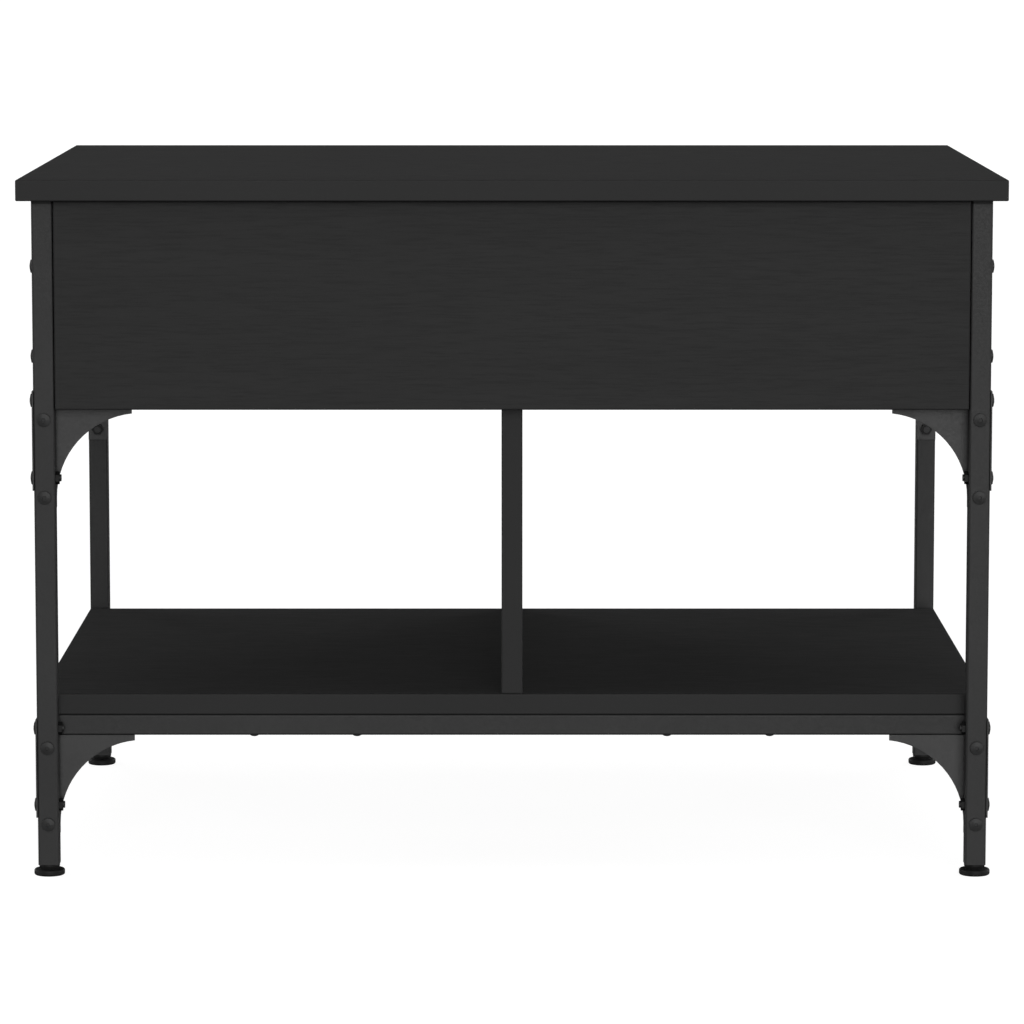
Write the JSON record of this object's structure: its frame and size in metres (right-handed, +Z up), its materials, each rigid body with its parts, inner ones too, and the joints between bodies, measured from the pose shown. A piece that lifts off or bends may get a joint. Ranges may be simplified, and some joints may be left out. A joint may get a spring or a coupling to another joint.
{
  "type": "lift top coffee table",
  "caption": "Black coffee table on a square steel tube frame with a divided lower shelf and a storage box under a top that lifts up and forward on parallel arms.",
  "frame": {"origin": "on the floor, under the middle of the table", "axes": "+X to the right seen from the front, -Y towards the front where the top comes forward, +Z up"},
  "size_m": [0.7, 0.5, 0.5],
  "materials": {
    "black_board": "matte black melamine with a fine embossed grain",
    "black_steel": "matte black powder coat",
    "black_fastener": "black zinc plating, satin",
    "black_plastic": "moulded, fine texture",
    "lift_steel": "black electro-coat, satin",
    "zinc_steel": "bright zinc plating",
    "spring_steel": "oiled drawn wire",
    "nylon": "natural nylon",
    "beech_dowel": "fluted beech"
  },
  "bodies": {
    "table": {"base_bracket_left": "lift_steel", "base_bracket_right": "lift_steel", "base_bracket_screws": "zinc_steel", "base_pivot_washers": "nylon", "bay_divider": "black_board", "box_back": "black_board", "box_bottom": "black_board", "box_front": "black_board", "box_left": "black_board", "box_right": "black_board", "dowels": "beech_dowel", "foot_back_left": "black_plastic", "foot_back_right": "black_plastic", "foot_front_left": "black_plastic", "foot_front_right": "black_plastic", "front_pivot_pins": "zinc_steel", "leg_back_left": "black_steel", "leg_back_right": "black_steel", "leg_bolts": "black_fastener", "leg_caps": "black_plastic", "leg_front_left": "black_steel", "leg_front_right": "black_steel", "leg_nuts": "black_fastener", "lower_back_gussets": "black_steel", "lower_back_rail": "black_steel", "lower_front_gussets": "black_steel", "lower_front_rail": "black_steel", "lower_left_gussets": "black_steel", "lower_left_rail": "black_steel", "lower_right_gussets": "black_steel", "lower_right_rail": "black_steel", "lower_shelf": "black_board", "panel_screws": "black_fastener", "rail_screws": "black_fastener", "rear_pivot_pins": "zinc_steel", "spring_bushes": "nylon", "spring_left": "spring_steel", "spring_right": "spring_steel", "stop_pins": "zinc_steel", "upper_back_gussets": "black_steel", "upper_back_rail": "black_steel", "upper_front_gussets": "black_steel", "upper_front_rail": "black_steel", "upper_left_gussets": "black_steel", "upper_left_rail": "black_steel", "upper_right_gussets": "black_steel", "upper_right_rail": "black_steel"},
    "rear_arm_left": {"rear_arm_left": "lift_steel"},
    "rear_arm_right": {"rear_arm_right": "lift_steel"},
    "front_arm_left": {"front_arm_left": "lift_steel"},
    "front_arm_right": {"front_arm_right": "lift_steel"},
    "lift_top": {"table_top": "black_board", "top_bracket_left": "lift_steel", "top_bracket_right": "lift_steel", "top_bracket_screws": "zinc_steel", "top_pivot_rivets": "zinc_steel", "top_pivot_washers": "nylon"}
  },
  "joints": [
    {"name": "lift", "type": "hinge", "parent": "table", "child": "rear_arm_left", "pos_m": [-0.318, -0.105, 0.398], "axis": [1, 0, 0], "range_deg": [0, 102], "stiffness_Nm_per_rad": 1, "springref_deg": 148.97, "deforming": ["spring_left"]},
    {"name": "rear_arm_right_swing", "type": "hinge", "parent": "table", "child": "rear_arm_right", "pos_m": [0.318, -0.105, 0.398], "axis": [1, 0, 0], "range_deg": [0, 102], "stiffness_Nm_per_rad": 1, "springref_deg": 148.97, "deforming": ["spring_right"]},
    {"name": "front_arm_left_swing", "type": "hinge", "parent": "table", "child": "front_arm_left", "pos_m": [-0.318, -0.1491, 0.4215], "axis": [1, 0, 0], "range_deg": [0, 102]},
    {"name": "front_arm_right_swing", "type": "hinge", "parent": "table", "child": "front_arm_right", "pos_m": [0.318, -0.1491, 0.4215], "axis": [1, 0, 0], "range_deg": [0, 102]},
    {"name": "top_level", "type": "hinge", "parent": "rear_arm_left", "child": "lift_top", "pos_m": [-0.318, 0.08315, 0.42444], "axis": [1, 0, 0], "range_deg": [-102, 0]}
  ],
  "couplings": [
    {"joint": "rear_arm_right_swing", "follows": "lift", "ratio": 1},
    {"joint": "front_arm_left_swing", "follows": "lift", "ratio": 1},
    {"joint": "front_arm_right_swing", "follows": "lift", "ratio": 1},
    {"joint": "top_level", "follows": "lift", "ratio": -1}
  ]
}
